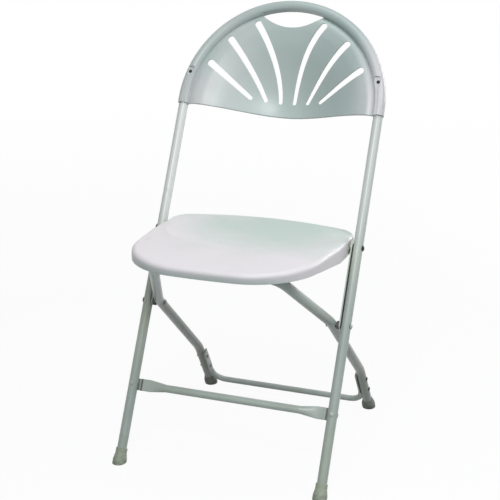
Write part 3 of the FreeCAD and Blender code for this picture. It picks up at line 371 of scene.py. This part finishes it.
def uneven_gloss(tree, skin, place, scale, detail, smooth, dull):
    """Roughness that drifts between a smooth and a dull end."""
    drift = spread(tree, noise(tree, place, scale, detail), 0.3, 0.7, smooth, dull)
    tree.links.new(drift, skin.inputs["Roughness"])


def blackened(name, coated_inside=None):
    """Blackened steel, grey further in than the given distance from the middle plane."""
    finish, tree, skin, place = new_finish(name)
    wear_and_painted_shadow = spread(tree, noise(tree, place, 520, 4), 0.56, 0.68)
    tone = blended(tree, wear_and_painted_shadow, (0.018, 0.018, 0.017), (0.10, 0.095, 0.085))
    metal = 0.6
    if coated_inside:
        coat = spread(tree, from_middle(tree, place), coated_inside - 0.001, coated_inside,
                      1.0, 0.0)
        tone = blended(tree, coat, tone, (0.30, 0.32, 0.30))
        metal = 0.0
    tree.links.new(tone, skin.inputs["Base Color"])
    skin.inputs["Metallic"].default_value = metal
    uneven_gloss(tree, skin, place, 400, 4, 0.42, 0.62)
    relief(tree, skin, noise(tree, place, 900, 3), 0.00003, 0.4)
    return finish


dress(["back_screws", "seat_pivot_rivet_left", "seat_pivot_rivet_right"],
      blackened("black_steel"))
dress(["rear_brace_rivets"],
      blackened("half_coated_steel", coated_inside=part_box("rear_brace_rivets")[1][0] - 0.012))

# --- Caps on the four feet: dull grey rubbery plastic pushed over the tubes' ends, with
# dust and dark scrapes near the floor. The rear pair is dirtier at the floor and painted darker,
# as shade under the chair.


def rubber(name, dark, light, dirty):
    """Rubbery plastic between two greys, and how dirty it is at the floor."""
    finish, tree, skin, place = new_finish(name)
    tone = mottled(tree, place, 35, 4, dark, light)
    dirt = both(tree, along(tree, place, "Z", 0.022, 0.0),
                spread(tree, noise(tree, place, 160, 5), 0.35, 0.6))
    tone = blended(tree, both(tree, dirt, dirty), tone, (0.10, 0.10, 0.085))
    scrapes = spread(tree, noise(tree, place, 120, 6, 0.6, (0.4, 0.4, 1)), 0.60, 0.70)
    tone = blended(tree, both(tree, scrapes, 0.45), tone, (0.18, 0.18, 0.155))
    rings = tree.nodes.new("ShaderNodeTexWave")
    rings.bands_direction = "Z"
    rings.inputs["Scale"].default_value = 48.0
    tree.links.new(place, rings.inputs["Vector"])
    tree.links.new(tone, skin.inputs["Base Color"])
    uneven_gloss(tree, skin, place, 90, 4, 0.55, 0.75)
    grain = both(tree, noise(tree, place, 500, 4), both(tree, rings.outputs["Fac"], 0.8), "ADD")
    relief(tree, skin, grain, 0.0002, 0.5)
    return finish


dress(["front_foot_left", "front_foot_right"],
      rubber("foot_rubber", (0.375, 0.43, 0.335), (0.44, 0.49, 0.395), 0.6))
dress(["rear_foot_left", "rear_foot_right"],
      rubber("shaded_foot_rubber", (0.25, 0.265, 0.24), (0.33, 0.345, 0.315), 0.9))

# --- Moulded seat: a shell of the same kind of plastic, whiter than the back. It is
# rubbed in thin lines where the sitter slides on and off. Its dish is painted greyer and
# greener as the back's shadow, and its front skirt darker as shade.
seat_plastic, tree, skin, place = new_finish("seat_plastic")
tone = mottled(tree, place, 5, 3, (0.855, 0.81, 0.85), (0.885, 0.84, 0.88))
centred = tree.nodes.new("ShaderNodeMapping")
centred.inputs["Location"].default_value = (-0.05, -0.075, -0.44)
centred.inputs["Scale"].default_value = (1.0, 1.1, 1.0)
tree.links.new(place, centred.inputs["Vector"])
middle = tree.nodes.new("ShaderNodeVectorMath")
middle.operation = "LENGTH"
tree.links.new(centred.outputs[0], middle.inputs[0])
ragged = both(tree, both(tree, noise(tree, place, 9, 4), 0.22), middle.outputs["Value"], "ADD")
facing = tree.nodes.new("ShaderNodeTexCoord").outputs["Normal"]
top_face = along(tree, facing, "Z", 0.5, 0.9)
# Painted shadow of the back, on the top face of the dish.
wear_and_painted_shadow = both(tree, spread(tree, ragged, 0.19, 0.38, 1.0, 0.0), top_face)
tone = blended(tree, both(tree, wear_and_painted_shadow, 0.80), tone, (0.53, 0.665, 0.605))
tone, rubs = rubbed(tree, place, tone, 45, 0.63, (1, 0.3, 1), (0.50, 0.51, 0.50),
                    240, (0.30, 0.29, 0.26))
# Painted shade on the front skirt.
front_skirt_shade = both(tree, along(tree, place, "Z", 0.436, 0.420),
                  along(tree, place, "Y", -0.19, -0.24))
tone = blended(tree, both(tree, front_skirt_shade, 0.8), tone, (0.43, 0.53, 0.51))
# Joints darkened by occlusion: partly dirt, partly painted contact shade.
tone = blended(tree, both(tree, crevice_dirt_and_shade(tree), 0.6), tone, (0.10, 0.10, 0.09))
tree.links.new(tone, skin.inputs["Base Color"])
moulded_skin(tree, skin, place, rubs, 16, 0.34, 0.54)
dress(["seat_pan"], seat_plastic)

# --- Hinge plates, stop brackets, and the small rivets and screws that fix them under
# the seat: zinc plated steel with a soft cloudy shine and duller spots.
zinc, tree, skin, place = new_finish("zinc")
tone = mottled(tree, place, 220, 4, (0.40, 0.42, 0.41), (0.58, 0.60, 0.585))
dull = spread(tree, noise(tree, place, 420, 6), 0.60, 0.68)
tone = blended(tree, both(tree, dull, 0.6), tone, (0.20, 0.19, 0.17))
tree.links.new(tone, skin.inputs["Base Color"])
skin.inputs["Metallic"].default_value = 1.0
uneven_gloss(tree, skin, place, 300, 4, 0.28, 0.5)
relief(tree, skin, noise(tree, place, 900, 3), 0.00003, 0.4)
dress(["seat_hinge_plate_left", "seat_hinge_plate_right", "seat_hinge_rivets",
       "seat_stop_bracket_left", "seat_stop_bracket_right", "seat_stop_screws"], zinc)

# --- Washers on the seat's pivots and spacer rings on the legs' pivots: nylon, natural
# at the seat and painted black at the legs as the shade in the gap beside the tube, with a dark
# film where they meet their neighbours, partly grease and partly painted shade.


def nylon_finish(name, dark, light):
    """Nylon between two tones, darkened where it meets its neighbours, as dirt and painted shade.
    """
    finish, tree, skin, place = new_finish(name)
    tone = mottled(tree, place, 200, 4, dark, light)
    tone = blended(tree, both(tree, crevice_dirt_and_shade(tree), 0.7), tone, joint_dirt_and_shade_tone)
    tree.links.new(tone, skin.inputs["Base Color"])
    uneven_gloss(tree, skin, place, 250, 3, 0.4, 0.6)
    relief(tree, skin, noise(tree, place, 700, 3), 0.00003, 0.4)
    return finish


dress(["seat_pivot_washer_left", "seat_pivot_washer_right"],
      nylon_finish("natural_nylon", (0.46, 0.47, 0.44), (0.56, 0.57, 0.54)))
dress(["leg_pivot_spacer_left", "leg_pivot_spacer_right"],
      nylon_finish("shade_black_nylon", (0.07, 0.07, 0.066), (0.12, 0.12, 0.115)))
